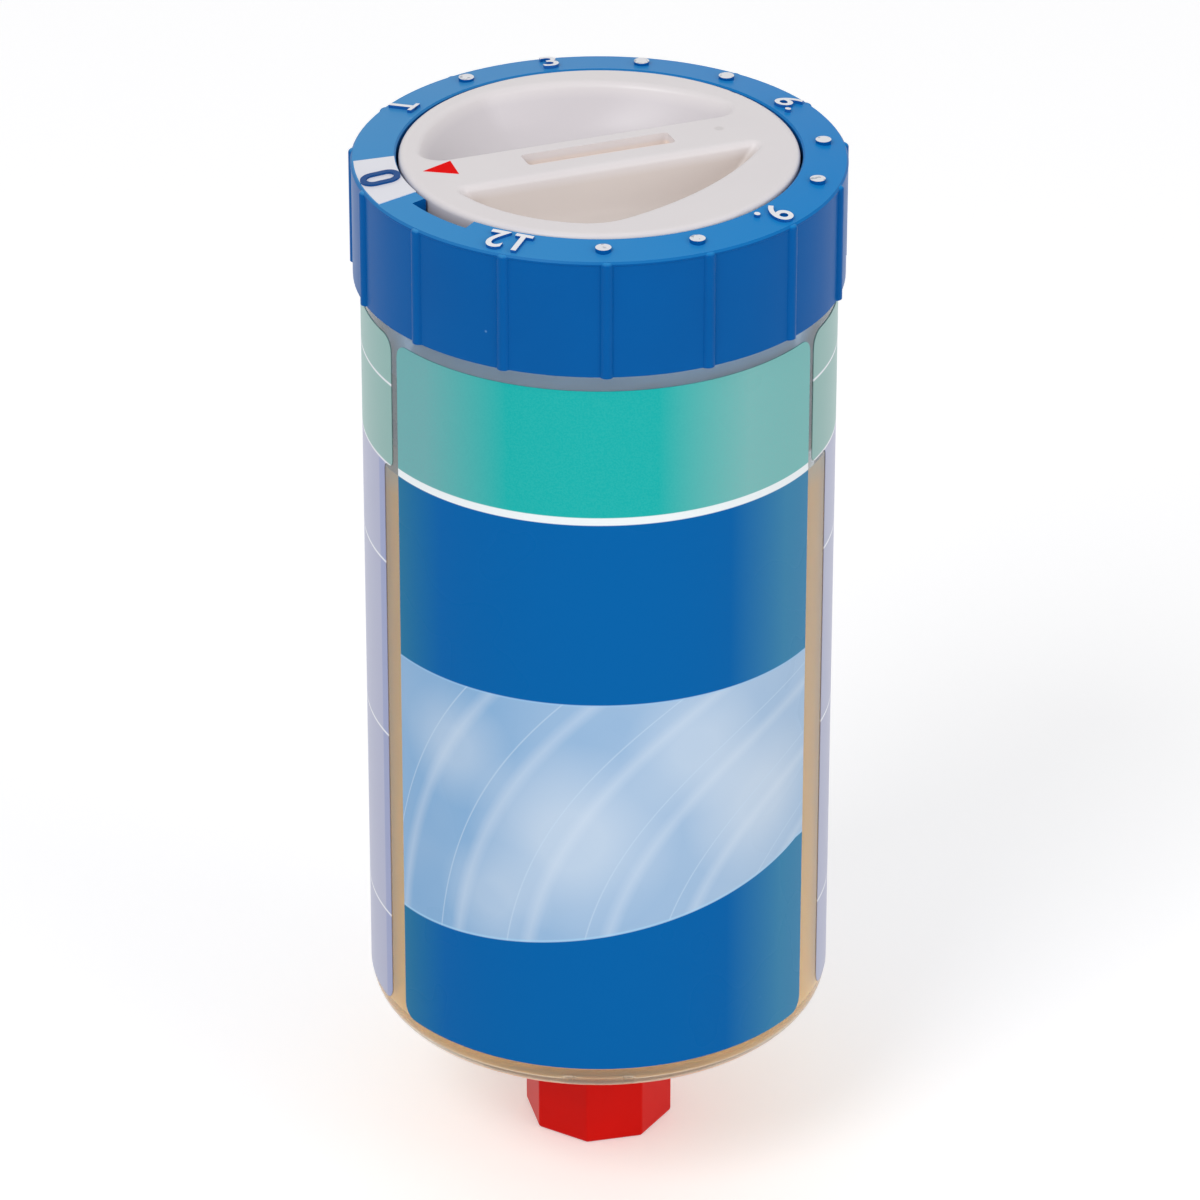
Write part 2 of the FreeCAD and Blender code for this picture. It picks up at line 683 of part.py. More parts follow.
def make_plug():
    # Eight-sided screw plug with a blind threaded bore
    step = 360.0 / PLUG_SIDES
    corners = [vector(plug_corner_radius, PLUG_CORNER_ANGLE + index * step) for index in range(PLUG_SIDES)]
    face = Part.Face(Part.makePolygon(corners + corners[:1]))
    plug = face.extrude(FreeCAD.Vector(0, 0, plug_top))
    plug = plug.makeFillet(PLUG_ROUNDING, plug.Edges)
    return plug.cut(cylinder(plug_bore, PLUG_FLOOR, plug_top + OVERLAP))


def make_plug_washer():
    return tube(plug_bore, plug_flat_radius - SEAL_PLAY, plug_top, body_bottom)


def build_all():
    nodes = {
        "container": make_container(),
        "cap": make_cap(),
        "zero_plate": make_zero_plate(),
        "dial": make_dial(),
        "dial_arrow": arrow_prism(ARROW_PROUD),
        "dial_seal": make_dial_seal(),
        "dial_contact": make_dial_contact(),
        "cap_seal": make_cap_seal(),
        "cell_carrier": make_cell_carrier(),
        "control_board": make_control_board(),
        "control_chip": make_control_chip(),
        "gas_cell": make_gas_cell(),
        "piston": make_piston(),
        "piston_seal": make_piston_seal(),
        "grease": make_grease(),
        "front_label": make_label(FRONT_LABEL),
        "rear_label": make_label(REAR_LABEL),
        "plug": make_plug(),
        "plug_washer": make_plug_washer(),
    }
    for index, centre in enumerate(battery_places(), 1):
        nodes["battery_cell_%d" % index] = make_battery_cell(centre)
        nodes["contact_spring_%d" % index] = make_contact_spring(centre)
    for index, centre in enumerate(post_places(), 1):
        nodes["board_screw_%d" % index] = make_board_screw(centre)
    return nodes


os.makedirs("parts", exist_ok=True)
for name, shape in build_all().items():
    shape.exportStep("parts/%s.step" % name)
    print(name, shape.ShapeType, len(shape.Solids), shape.isValid(), round(shape.Volume, 1))
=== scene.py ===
import bmesh
import bpy
import math
from mathutils import Matrix, Quaternion, Vector


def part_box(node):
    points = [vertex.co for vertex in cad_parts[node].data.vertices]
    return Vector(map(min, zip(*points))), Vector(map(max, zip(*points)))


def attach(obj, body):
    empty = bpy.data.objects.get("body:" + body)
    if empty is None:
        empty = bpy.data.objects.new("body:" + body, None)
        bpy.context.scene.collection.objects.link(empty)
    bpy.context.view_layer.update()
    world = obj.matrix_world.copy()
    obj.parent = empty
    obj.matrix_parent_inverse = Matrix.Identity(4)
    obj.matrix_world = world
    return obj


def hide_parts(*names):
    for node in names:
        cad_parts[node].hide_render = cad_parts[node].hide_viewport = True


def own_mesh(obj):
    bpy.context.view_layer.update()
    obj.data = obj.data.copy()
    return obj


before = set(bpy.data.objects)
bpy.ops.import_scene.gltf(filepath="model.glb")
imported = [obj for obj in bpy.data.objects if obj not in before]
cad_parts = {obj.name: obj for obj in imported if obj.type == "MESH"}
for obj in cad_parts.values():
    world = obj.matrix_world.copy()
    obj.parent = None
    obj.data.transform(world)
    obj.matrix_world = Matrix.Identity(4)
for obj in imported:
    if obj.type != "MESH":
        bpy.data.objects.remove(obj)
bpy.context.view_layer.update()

MM = 0.001

# Camera of the photograph, worked out from its outlines
FRAME_PIXELS = 1200
SENSOR = 36.0
FOCAL_PIXELS = 6865.7
CAMERA_DISTANCE = 767.4 * MM
CAMERA_ELEVATION = math.radians(28.217)
CAMERA_ROLL = math.radians(0.06)
CAMERA_TARGET = Vector((0.115 * MM, 0.0, 66.62 * MM))

# The lengths below are in millimetres, and the angles in degrees from the front

# Container, outlet and grease, where the frame's boxes don't give a size
WALL_FOOT_RADIUS = 3.7
FLOOR_CORNER_RADIUS = 2.5
NECK_STEP = 0.7
BEAD_RISE = 0.35
BEAD_HEIGHTS = (1.5, 1.85, 2.65, 3.0)
OUTLET_RADIUS = 2.5
OUTLET_ROUNDING = 0.4
NOZZLE_CHAMFER = 0.5
NOZZLE_FILLET = 0.6
CREST_RADIUS = 6.58
THREAD_PITCH = 1.337
THREAD_DEPTH = 0.86
THREAD_SINK = 0.04
THREAD_START = 0.7
THREAD_TURNS = 9
STEPS_PER_TURN = 64
GREASE_FILM = 0.03
SPIN_STEPS = 192
CREASE = 35.0

# Ring with its months and the zero
RING_BORE = 22.02
RING_DROP = 0.2
RING_RISE = 0.6
RING_WIDTH = 5.28
DOT_PAINT_HEIGHT = 0.16
ZERO_ANGLE = -74.0
FIRST_MONTH_ANGLE = 45.0
MONTH_STEP = 24.0
NUMERAL_RADIUS = 24.6
NUMERAL_HEIGHT = 3.3
NUMERAL_RELIEF = 0.36
NUMERAL_STROKE = 0.5
NUMERAL_SWELL = 0.06
NUMERAL_SPACING = 1.12
FONT_SIZE_PER_HEIGHT = 1.42
FOOT_LENGTH = 4.0 * NUMERAL_STROKE
ZERO_RADIUS = 24.4
ZERO_STROKE = 0.66
ZERO_HALF_WIDTH = 1.45
ZERO_HALF_STRAIGHT = 0.75
ZERO_THICKNESS = 0.5
ZERO_SINK = 0.2
FACES_UP = 0.8

# Dial: depths below its top, and places along and across its ridge
RIDGE_ANGLE = -69.0
POCKET_DEPTH = 1.1
POCKET_FLOOR_DEPTH = 5.2
POCKET_OUTER_RADIUS = 16.2
BACK_POCKET_SIDE = 2.6
SLOT_DEPTH = 0.9
SLOT_MIDDLE = 0.3
SLOT_HALF_WIDTH = 1.4
SLOT_HALF_LENGTH = 8.7
GATE_MARK = (13.0, 5.6)
GATE_RADIUS = 0.5

# Board
PADS_RADIUS = 16.6
TRACE_RADII = (9.0, 12.0)

# Label films
REAR_LABEL = (71.5, 296.5)
REAR_BAND = (62.5, 300.7)
REAR_BAND_HEIGHT = 15.6
LABEL_CORNER = 1.7
LABEL_STEP_ROUNDING = 0.8
LABEL_STRIP_ANGLE = 1.5
LABEL_LIFT = 0.01
LABEL_THICKNESS = 0.07

# Print of the labels
PRINT_MIDDLE = -4.0
LINE_HEIGHT = 90.05
LINE_WIDTH = 0.9
PICTURE_TOP = 67.6
SHORE_LEFT = 35.6
SHORE_RISE = 8.6
SHORE_BEND = 1.7
REAR_RULES = (100.0, LINE_HEIGHT, 77.6, 55.8, 32.5)
RULE_HALF_WIDTH = 0.14
MARGIN_HALF_ANGLE = 1.6

# Soft glows of the picture field: place along the label, height, size and strength
GLOWS = (
    (-17.0, 59.5, 5.0, 0.4),
    (-3.0, 50.5, 8.0, 0.6),
    (11.0, 61.0, 5.6, 0.5),
    (19.5, 52.0, 6.6, 0.6),
    (-12.0, 42.0, 4.6, 0.4),
)
RIPPLE_CENTRE = (34.0, 30.0)
RIPPLE_FIRST = 17.0
RIPPLE_STEP = 8.5
RIPPLE_COUNT = 6
HAIRLINE_GAP = 2.4

# Surfaces: how far a mottle goes to each side of a colour, and the depth of the grain
MOTTLE = 0.05
GRAIN_DEPTH = 0.02

# Light: the world's level for the object, and the floor's size in metres and own glow
AMBIENT = 0.55
FLOOR_HALF_SIZE = 3.0
FLOOR_GLOW = 0.34


def box_mm(node):
    """Lower and upper corner of a node's box, in millimetres."""
    low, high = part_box(node)
    return low / MM, high / MM


container_low, container_high = box_mm("container")
grease_low, grease_high = box_mm("grease")
label_low, label_high = box_mm("front_label")

body_radius = container_high.x
bore_radius = grease_high.x
neck_radius = body_radius - NECK_STEP
core_radius = CREST_RADIUS - THREAD_DEPTH
nozzle_end = container_low.z
body_bottom = box_mm("plug_washer")[1].z
floor_top = grease_low.z
neck_top = container_high.z
cap_bottom = box_mm("cap")[0].z
cap_radius = RING_BORE + RING_WIDTH
dial_top = box_mm("dial")[1].z
ring_edge_z = dial_top - RING_DROP - RING_RISE
ring_slope = RING_RISE / RING_WIDTH


def linear(red, green, blue):
    """Scene colour of a colour given from 0 to 255."""
    def channel(value):
        share = value / 255.0
        return share / 12.92 if share <= 0.04045 else ((share + 0.055) / 1.055) ** 2.4
    return (channel(red), channel(green), channel(blue), 1.0)


class Value:
    """A shader socket that Python's operators join with Math nodes."""

    def __init__(self, shader, socket):
        self.shader = shader
        self.socket = socket

    def math(self, operation, *others):
        inputs = [self, *others]
        return self.shader.node("ShaderNodeMath", {"operation": operation}, dict(enumerate(inputs)))

    def __add__(self, other):
        return self.math("ADD", other)

    def __sub__(self, other):
        return self.math("SUBTRACT", other)

    def __rsub__(self, other):
        return (self * -1.0).math("ADD", other)

    def __mul__(self, other):
        return self.math("MULTIPLY", other)

    def __pow__(self, other):
        return self.math("POWER", other)

    def __abs__(self):
        return self.math("ABSOLUTE")

    def clamped(self):
        return self.math("MAXIMUM", 0.0).math("MINIMUM", 1.0)

    def rises(self, edge, width):
        """0 below an edge and 1 above it, over a width; the edge may be a value too."""
        return ((self - edge) * (1.0 / width) + 0.5).clamped()

    def near(self, middle, half_width, blur):
        """1 within a half width of a middle, fading to 0 over a blur."""
        return 1.0 - abs(self - middle).rises(half_width, blur)


def distance(first, second, spot):
    """How far two values lie from a spot in their plane."""
    return ((first - spot[0]) ** 2.0 + (second - spot[1]) ** 2.0).math("SQRT")


class Shader:
    """Makes the nodes of one material, with lengths in millimetres."""

    def __init__(self, name):
        self.material = bpy.data.materials.new(name)
        self.material.use_nodes = True
        self.tree = self.material.node_tree
        self.tree.nodes.clear()
        self.output = self.tree.nodes.new("ShaderNodeOutputMaterial")
        coordinates = self.node("ShaderNodeTexCoord", output="Object")
        self.spot = self.vector("SCALE", {0: coordinates, "Scale": 1.0 / MM})
        self.x, self.y, self.z = (
            self.node("ShaderNodeSeparateXYZ", inputs={0: self.spot}, output=axis)
            for axis in range(3)
        )

    def node(self, kind, settings=None, inputs=None, output=0):
        made = self.tree.nodes.new(kind)
        for key, setting in (settings or {}).items():
            setattr(made, key, setting)
        for key, given in (inputs or {}).items():
            if isinstance(given, Value):
                self.tree.links.new(given.socket, made.inputs[key])
            else:
                made.inputs[key].default_value = given
        return Value(self, made.outputs[output])

    def vector(self, operation, inputs):
        return self.node("ShaderNodeVectorMath", {"operation": operation}, inputs)

    def radius(self):
        """Distance from the upright axis."""
        return (self.x * self.x + self.y * self.y).math("SQRT")

    def turn(self):
        """Angle round the body from the front, in degrees."""
        return self.x.math("ARCTAN2", self.y * -1.0) * math.degrees(1.0)

    def up(self):
        """How far the surface faces upwards."""
        normal = self.node("ShaderNodeNewGeometry", output="Normal")
        return self.node("ShaderNodeSeparateXYZ", inputs={0: normal}, output=2)

    def noise(self, scale, detail=2.0, roughness=0.5, stretch=None):
        vector = self.spot
        if stretch:
            vector = self.vector("MULTIPLY", {0: self.spot, 1: stretch})
        inputs = {"Scale": scale, "Detail": detail, "Roughness": roughness, "Vector": vector}
        return self.node("ShaderNodeTexNoise", inputs=inputs)

    def specks(self, scale, size):
        """Small round specks, one in each cell."""
        inputs = {"Scale": scale, "Vector": self.spot}
        return 1.0 - self.node("ShaderNodeTexVoronoi", inputs=inputs).rises(size, size * 0.5)

    def mix(self, factor, first, second):
        """Colour between two colours."""
        inputs = {"Factor": factor, 6: first, 7: second}
        return self.node("ShaderNodeMix", {"data_type": "RGBA"}, inputs, output=2)

    def bump(self, height, strength, distance):
        """Surface relief from a height, over a distance in millimetres."""
        inputs = {"Height": height, "Strength": strength, "Distance": distance * MM}
        return self.node("ShaderNodeBump", inputs=inputs)

    def finish(self, **sockets):
        """Principled surface with the given sockets, joined to the output."""
        names = {key.replace("_", " "): value for key, value in sockets.items()}
        surface = self.node("ShaderNodeBsdfPrincipled", inputs=names)
        self.tree.links.new(surface.socket, self.output.inputs["Surface"])
        return self.material


def shade(colour, share):
    """A colour with its channels scaled by a share."""
    return [min(1.0, channel * share) for channel in colour[:3]] + [1.0]


def moulded(name, colour, roughness, gloss=0.5):
    """Moulded plastic or rubber with a faint mottle and a fine grain."""
    shader = Shader(name)
    mottle = shader.noise(0.18, 3.0)
    fine = shader.noise(2.6, 2.0)
    return shader.finish(
        Base_Color=shader.mix(mottle, shade(colour, 1.0 - MOTTLE), shade(colour, 1.0 + MOTTLE)),
        Roughness=mottle * 0.08 + (roughness - 0.04),
        Specular_IOR_Level=gloss,
        Normal=shader.bump(fine, 0.08, GRAIN_DEPTH),
    )


def metal(name, colour, roughness, stretch):
    """Drawn or stamped metal with fine streaks."""
    shader = Shader(name)
    streaks = shader.noise(3.0, 3.0, 0.6, stretch)
    return shader.finish(
        Base_Color=shader.mix(streaks, shade(colour, 0.8), colour),
        Metallic=1.0,
        Roughness=streaks * 0.2 + (roughness - 0.1),
        Normal=shader.bump(streaks, 0.15, GRAIN_DEPTH),
    )


def cap_plastic():
    """Blue moulded plastic with white tops on the raised month dots and a few specks; its upward
    faces carry a painted highlight, stronger on the left.
    """
    shader = Shader("cap_blue_plastic")
    ring_face = (cap_radius - shader.radius()) * ring_slope + ring_edge_z
    on_dot = shader.z.rises(ring_face + DOT_PAINT_HEIGHT, 0.05) * shader.up().rises(FACES_UP, 0.2)
    worn = shader.noise(1.6, 3.0).rises(0.60, 0.08)
    mottle = shader.noise(0.12, 3.0)
    side = shader.mix(mottle, linear(0, 88, 160), linear(0, 94, 168))
    # Painted light: the upward faces get a lighter blue than the sides, lighter still towards the
    # left.
    lit_from_left = (shader.x * (-0.5 / cap_radius) + 0.5).clamped()
    lit_top_blue = shader.mix(lit_from_left, linear(14, 132, 206), linear(64, 146, 206))
    blue = shader.mix(shader.up().rises(0.7, 0.5), side, lit_top_blue)
    specks = shader.specks(0.16, 0.03)
    blue = shader.mix(specks * 0.6, blue, linear(120, 170, 215))
    white = shader.mix(worn * 0.7, linear(236, 236, 240), linear(150, 158, 172))
    grain = shader.noise(3.0, 2.0)
    return shader.finish(
        Base_Color=shader.mix(on_dot, blue, white),
        Roughness=mottle * 0.10 + 0.26,
        Specular_IOR_Level=0.06,
        Normal=shader.bump(grain, 0.07, GRAIN_DEPTH),
    )


def dial_plastic():
    """Off-white moulded plastic with a small round gate mark; painted shade makes the pockets
    creamier and darker, browner on the front pocket's outer wall, and the slot floor is painted
    lighter.
    """
    shader = Shader("dial_white_plastic")
    depth = dial_top - shader.z
    in_pocket = depth.rises(POCKET_DEPTH, 1.2)
    mottle = shader.noise(0.10, 3.0)
    face = shader.mix(mottle, linear(226, 220, 222), linear(232, 227, 228))
    ridge = math.radians(RIDGE_ANGLE)
    along = shader.x * math.sin(ridge) - shader.y * math.cos(ridge)
    across = shader.x * -math.cos(ridge) - shader.y * math.sin(ridge)
    # Painted shade in the pockets: warm cream in the front one, browner on its outer wall, grey in
    # the back one.
    painted_cream_shade = shader.mix(mottle, linear(216, 206, 201), linear(222, 212, 207))
    above_floor = 1.0 - depth.rises(POCKET_FLOOR_DEPTH, 1.0)
    shaded_outer_wall = shader.radius().rises(POCKET_OUTER_RADIUS, 3.0) * above_floor
    painted_cream_shade = shader.mix(shaded_outer_wall * 0.8, painted_cream_shade, linear(192, 179, 172))
    painted_grey_shade = shader.mix(mottle, linear(214, 208, 212), linear(220, 215, 218))
    painted_pocket_shade = shader.mix(across.rises(BACK_POCKET_SIDE, 1.6), painted_cream_shade, painted_grey_shade)
    slot_width = across.near(SLOT_MIDDLE, SLOT_HALF_WIDTH, 0.3)
    slot_length = along.near(0.0, SLOT_HALF_LENGTH, 0.4)
    in_slot = depth.rises(SLOT_DEPTH, 0.3) * slot_width * slot_length
    from_gate = distance(shader.x, shader.y, GATE_MARK)
    gate = from_gate.near(0.0, GATE_RADIUS, 0.3) * (1.0 - depth.rises(0.5, 0.2))
    colour = shader.mix(in_pocket, face, painted_pocket_shade)
    # Painted light: the slot floor is painted lighter than the face, against the shade in the slot.
    colour = shader.mix(in_slot, colour, linear(240, 226, 217))
    colour = shader.mix(gate * 0.3, colour, linear(176, 168, 166))
    grain = shader.noise(2.4, 2.0) * 0.2 - from_gate.near(0.0, GATE_RADIUS + 0.3, 0.3)
    return shader.finish(
        Base_Color=colour,
        Roughness=mottle * 0.10 + 0.34,
        Normal=shader.bump(grain, 0.12, 0.06),
    )


def clear_plastic():
    """Clear moulded plastic with a slight wave in its surface, a painted tint of the light seen
    through it, and painted reflections at the foot.
    """
    shader = Shader("container_clear_plastic")
    wave = shader.noise(0.05, 1.0)
    # Painted tint of the light through the wall: amber at the grease's heights, bluish white above.
    by_grease = 1.0 - shader.z.rises(grease_high.z - 1.0, 2.0)
    painted_through_tint = shader.mix(by_grease, linear(226, 242, 254), linear(247, 236, 210))
    # Painted light at the foot: amber in front for the grease seen through the floor, and a painted
    # white reflection at the sides.
    at_foot = 1.0 - shader.z.rises(floor_top - 0.6, 2.4)
    reflecting_sides = abs(shader.turn()).rises(38.0, 40.0)
    foot = shader.mix(reflecting_sides, linear(250, 180, 122), linear(255, 250, 240))
    return shader.finish(
        Base_Color=shader.mix(at_foot, painted_through_tint, foot),
        Roughness=wave * 0.05 + 0.06,
        IOR=1.46,
        Transmission_Weight=0.86,
        Normal=shader.bump(wave, 0.2, 0.1),
    )


def grease_gel():
    """Amber grease, browner towards the piston, with faint streaks and a weak painted glow of its
    own colour.
    """
    shader = Shader("grease_amber")
    height = (shader.z - floor_top) * (1.0 / (grease_high.z - floor_top))
    streaks = shader.noise(0.12, 3.0, 0.6, (1.0, 1.0, 0.2))
    low = shader.mix(streaks, linear(226, 178, 84), linear(232, 190, 100))
    high = shader.mix(streaks, linear(200, 160, 100), linear(208, 170, 112))
    amber = shader.mix(height.rises(0.45, 0.7), low, high)
    return shader.finish(
        Base_Color=amber,
        Roughness=streaks * 0.2 + 0.25,
        # Painted glow: the grease emits its own amber to stand in for the light it lacks behind the
        # wall.
        Emission_Color=amber,
        Emission_Strength=0.12,
        Subsurface_Weight=0.2,
        Subsurface_Scale=2.0 * MM,
    )


def front_print():
    """Front label: green band, white line, blue field, pale picture field of ripples, blue foot,
    with painted sheen making the green and blue paler towards the sides, more on the right.
    """
    shader = Shader("front_label_print_and_sheen")
    off_centre = abs(shader.turn() - PRINT_MIDDLE)
    rightwards = shader.turn().rises(0.0, 40.0)
    along = shader.turn() * (math.radians(1.0) * body_radius)
    z = shader.z
    fine = shader.noise(5.0, 1.0)
    soft = shader.noise(0.06, 2.0)

    # Painted sheen: the green and blue turn paler and greyer towards the label's sides, more on the
    # right.
    sheen_green = shader.mix(rightwards, linear(116, 176, 179), linear(130, 190, 188))
    green = shader.mix(off_centre.rises(30.0, 24.0), linear(26, 180, 176), sheen_green)
    green = shader.mix(fine.rises(0.5, 0.3) * 0.12, green, linear(90, 205, 195))
    sheen_blue = shader.mix(rightwards, linear(30, 120, 158), linear(60, 134, 176))
    blue = shader.mix(off_centre.rises(46.0, 18.0), linear(0, 100, 172), sheen_blue)

    haze = (soft * 0.8 + along * 0.012 + 0.1).clamped()
    sky = shader.mix(haze, linear(126, 174, 218), linear(186, 208, 232))
    for spot_along, spot_z, size, strength in GLOWS:
        from_spot = distance(along, z, (spot_along, spot_z))
        glow = (1.0 - from_spot.rises(size, size * 1.1)) * strength
        sky = shader.mix(glow, sky, linear(216, 229, 243))
    from_corner = distance(along, z, RIPPLE_CENTRE)
    for index in range(RIPPLE_COUNT):
        ring = RIPPLE_FIRST + index * RIPPLE_STEP
        band = from_corner.near(ring, 0.35, 1.5)
        hair = from_corner.near(ring + HAIRLINE_GAP, 0.06, 0.12)
        sky = shader.mix(band * 0.45, sky, linear(222, 234, 248))
        sky = shader.mix(hair * 0.6, sky, linear(205, 225, 245))

    share = ((along + body_radius) * (0.5 / body_radius)).clamped()
    shore = (share ** SHORE_BEND) * SHORE_RISE + SHORE_LEFT
    above_shore = z.rises(shore, 0.12)
    field = shader.mix(above_shore, blue, sky)
    field = shader.mix((z - shore).near(0.15, 0.12, 0.15) * 0.6, field, linear(175, 220, 250))
    field = shader.mix(z.rises(PICTURE_TOP, 0.1), field, blue)
    field = shader.mix(z.near(PICTURE_TOP - 0.1, 0.1, 0.12) * 0.5, field, linear(160, 205, 245))
    field = shader.mix(z.rises(LINE_HEIGHT, 0.1), field, green)
    field = shader.mix(z.near(LINE_HEIGHT, LINE_WIDTH / 2.0, 0.1), field, linear(244, 250, 252))
    return shader.finish(
        Base_Color=field,
        Roughness=soft * 0.08 + 0.24,
        Specular_IOR_Level=0.05,
    )


def rear_print():
    """Rear label: a green band over a pale blue field, with thin white rules and a left margin."""
    shader = Shader("rear_label_print")
    z = shader.z
    soft = shader.noise(0.06, 2.0)
    green = shader.mix(soft, linear(122, 172, 166), linear(136, 180, 174))
    blue = shader.mix(soft, linear(162, 166, 197), linear(173, 177, 205))
    from_edge = REAR_LABEL[1] - 360.0 - shader.turn()
    margin = from_edge.near(MARGIN_HALF_ANGLE, MARGIN_HALF_ANGLE, 0.4)
    blue = shader.mix(margin * 0.8, blue, linear(134, 146, 194))
    field = shader.mix(z.rises(LINE_HEIGHT, 0.1), blue, green)
    for height in REAR_RULES:
        rule = z.near(height, RULE_HALF_WIDTH, 0.1)
        field = shader.mix(rule * 0.9, field, linear(238, 240, 246))
    return shader.finish(
        Base_Color=field,
        Roughness=soft * 0.08 + 0.28,
        Specular_IOR_Level=0.5,
    )


def board_laminate():
    """Green board with a gilt ring of pads that the dial's wiper runs over."""
    shader = Shader("control_board_laminate")
    radius = shader.radius()
    beat = (shader.turn() * (math.pi / MONTH_STEP)).math("SINE")
    pads = radius.near(PADS_RADIUS, 1.0, 0.1) * abs(beat).rises(0.25, 0.05)
    inner_trace, outer_trace = (radius.near(middle, 0.15, 0.05) for middle in TRACE_RADII)
    traces = inner_trace + outer_trace
    weave = shader.noise(1.2, 2.0)
    green = shader.mix(weave, linear(10, 84, 44), linear(16, 98, 52))
    gilt = (pads + traces).clamped()
    return shader.finish(
        Base_Color=shader.mix(gilt, green, linear(212, 170, 80)),
        Metallic=gilt,
        Roughness=weave * 0.1 + 0.35,
        Normal=shader.bump(gilt, 0.3, 0.03),
    )


blue = cap_plastic()
clear = clear_plastic()
white = moulded("plate_white_plastic", linear(232, 232, 240), 0.40)
red = moulded("plug_red_plastic", linear(226, 22, 16), 0.32, gloss=0.08)
arrow_red = moulded("arrow_red_paint", linear(238, 0, 0), 0.6, gloss=0.05)
mark_white = moulded("numeral_white_paint", linear(240, 240, 244), 0.42)
mark_blue = moulded("numeral_blue_plastic", linear(0, 92, 170), 0.36)
zero_blue = moulded("zero_blue_paint", linear(8, 74, 140), 0.36, gloss=0.1)
olive = moulded("piston_olive_plastic", linear(150, 146, 112), 0.5)
carrier_grey = moulded("carrier_grey_plastic", linear(172, 208, 236), 0.5)
rubber = moulded("seal_black_rubber", linear(28, 28, 30), 0.65)
chip = moulded("chip_black_resin", linear(24, 24, 26), 0.5)
steel = metal("cell_drawn_steel", linear(200, 200, 198), 0.32, (1.0, 1.0, 0.2))
brass = metal("contact_stamped_brass", linear(212, 176, 92), 0.3, (0.2, 1.0, 1.0))

FINISHES = {
    "cap": blue,
    "dial": dial_plastic(),
    "dial_arrow": arrow_red,
    "zero_plate": white,
    "plug": red,
    "plug_washer": rubber,
    "piston": olive,
    "piston_seal": rubber,
    "dial_seal": rubber,
    "cap_seal": rubber,
    "cell_carrier": carrier_grey,
    "control_board": board_laminate(),
    "control_chip": chip,
    "gas_cell": steel,
    "battery_cell_1": steel,
    "battery_cell_2": steel,
    "battery_cell_3": steel,
    "board_screw_1": steel,
    "board_screw_2": steel,
    "dial_contact": brass,
    "contact_spring_1": brass,
    "contact_spring_2": brass,
    "contact_spring_3": brass,
}

for name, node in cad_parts.items():
    if name in FINISHES:
        for slot in node.material_slots:
            slot.material = FINISHES[name]


def piece(name, bm, materials, body):
    """Object of a finished bmesh in millimetres, riding on a body."""
    bmesh.ops.scale(bm, vec=(MM, MM, MM), verts=bm.verts)
    mesh = bpy.data.meshes.new(name)
    bm.to_mesh(mesh)
    bm.free()
    for material in materials:
        mesh.materials.append(material)
    mesh.shade_smooth()
    mesh.set_sharp_from_angle(angle=math.radians(CREASE))
    made = bpy.data.objects.new(name, mesh)
    bpy.context.scene.collection.objects.link(made)
    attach(made, body)
    return made


def arc(centre_radius, centre_z, radius, start, end, steps=8):
    """Points of an arc of an outline; 0 degrees points outwards and 90 upwards."""
    points = []
    for index in range(steps + 1):
        turn = math.radians(start + (end - start) * index / steps)
        points.append((centre_radius + radius * math.cos(turn), centre_z + radius * math.sin(turn)))
    return points


def spun(outline, closed=True):
    """Closed shell of an outline of (radius, height) points turned about the axis."""
    bm = bmesh.new()
    corners = [bm.verts.new((radius, 0.0, z)) for radius, z in outline]
    edges = [bm.edges.new(pair) for pair in zip(corners, corners[1:])]
    if closed:
        edges.append(bm.edges.new((corners[-1], corners[0])))
    bmesh.ops.spin(
        bm, geom=corners + edges, cent=(0, 0, 0), axis=(0, 0, 1), dvec=(0, 0, 0),
        angle=2.0 * math.pi, steps=SPIN_STEPS, use_merge=True, use_duplicate=False,
    )
    bmesh.ops.remove_doubles(bm, verts=bm.verts, dist=0.0005)
    bmesh.ops.recalc_face_normals(bm, faces=bm.faces)
    return bm


def make_container():
    """Clear cup: rounded foot, stepped neck with its snap bead, and the bare core of the nozzle."""
    foot = WALL_FOOT_RADIUS
    inner = FLOOR_CORNER_RADIUS
    fillet = NOZZLE_FILLET
    mouth = OUTLET_ROUNDING
    bead = neck_radius + BEAD_RISE
    bead_radii = (neck_radius, bead, bead, neck_radius)
    outline = [(OUTLET_RADIUS, nozzle_end), (core_radius - NOZZLE_CHAMFER, nozzle_end)]
    outline += [(core_radius, nozzle_end + NOZZLE_CHAMFER)]
    outline += arc(core_radius + fillet, body_bottom - fillet, fillet, 180.0, 90.0, 4)
    outline += arc(body_radius - foot, body_bottom + foot, foot, -90.0, 0.0, 12)
    outline += [(body_radius, cap_bottom), (neck_radius, cap_bottom)]
    outline += [(radius, cap_bottom + height) for radius, height in zip(bead_radii, BEAD_HEIGHTS)]
    outline += [(neck_radius, neck_top), (bore_radius, neck_top)]
    outline += arc(bore_radius - inner, floor_top + inner, inner, 0.0, -90.0, 8)
    outline += arc(OUTLET_RADIUS + mouth, floor_top - mouth, mouth, 90.0, 180.0, 4)
    made = piece("container_shell", spun(outline), [clear], "canister")
    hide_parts("container")


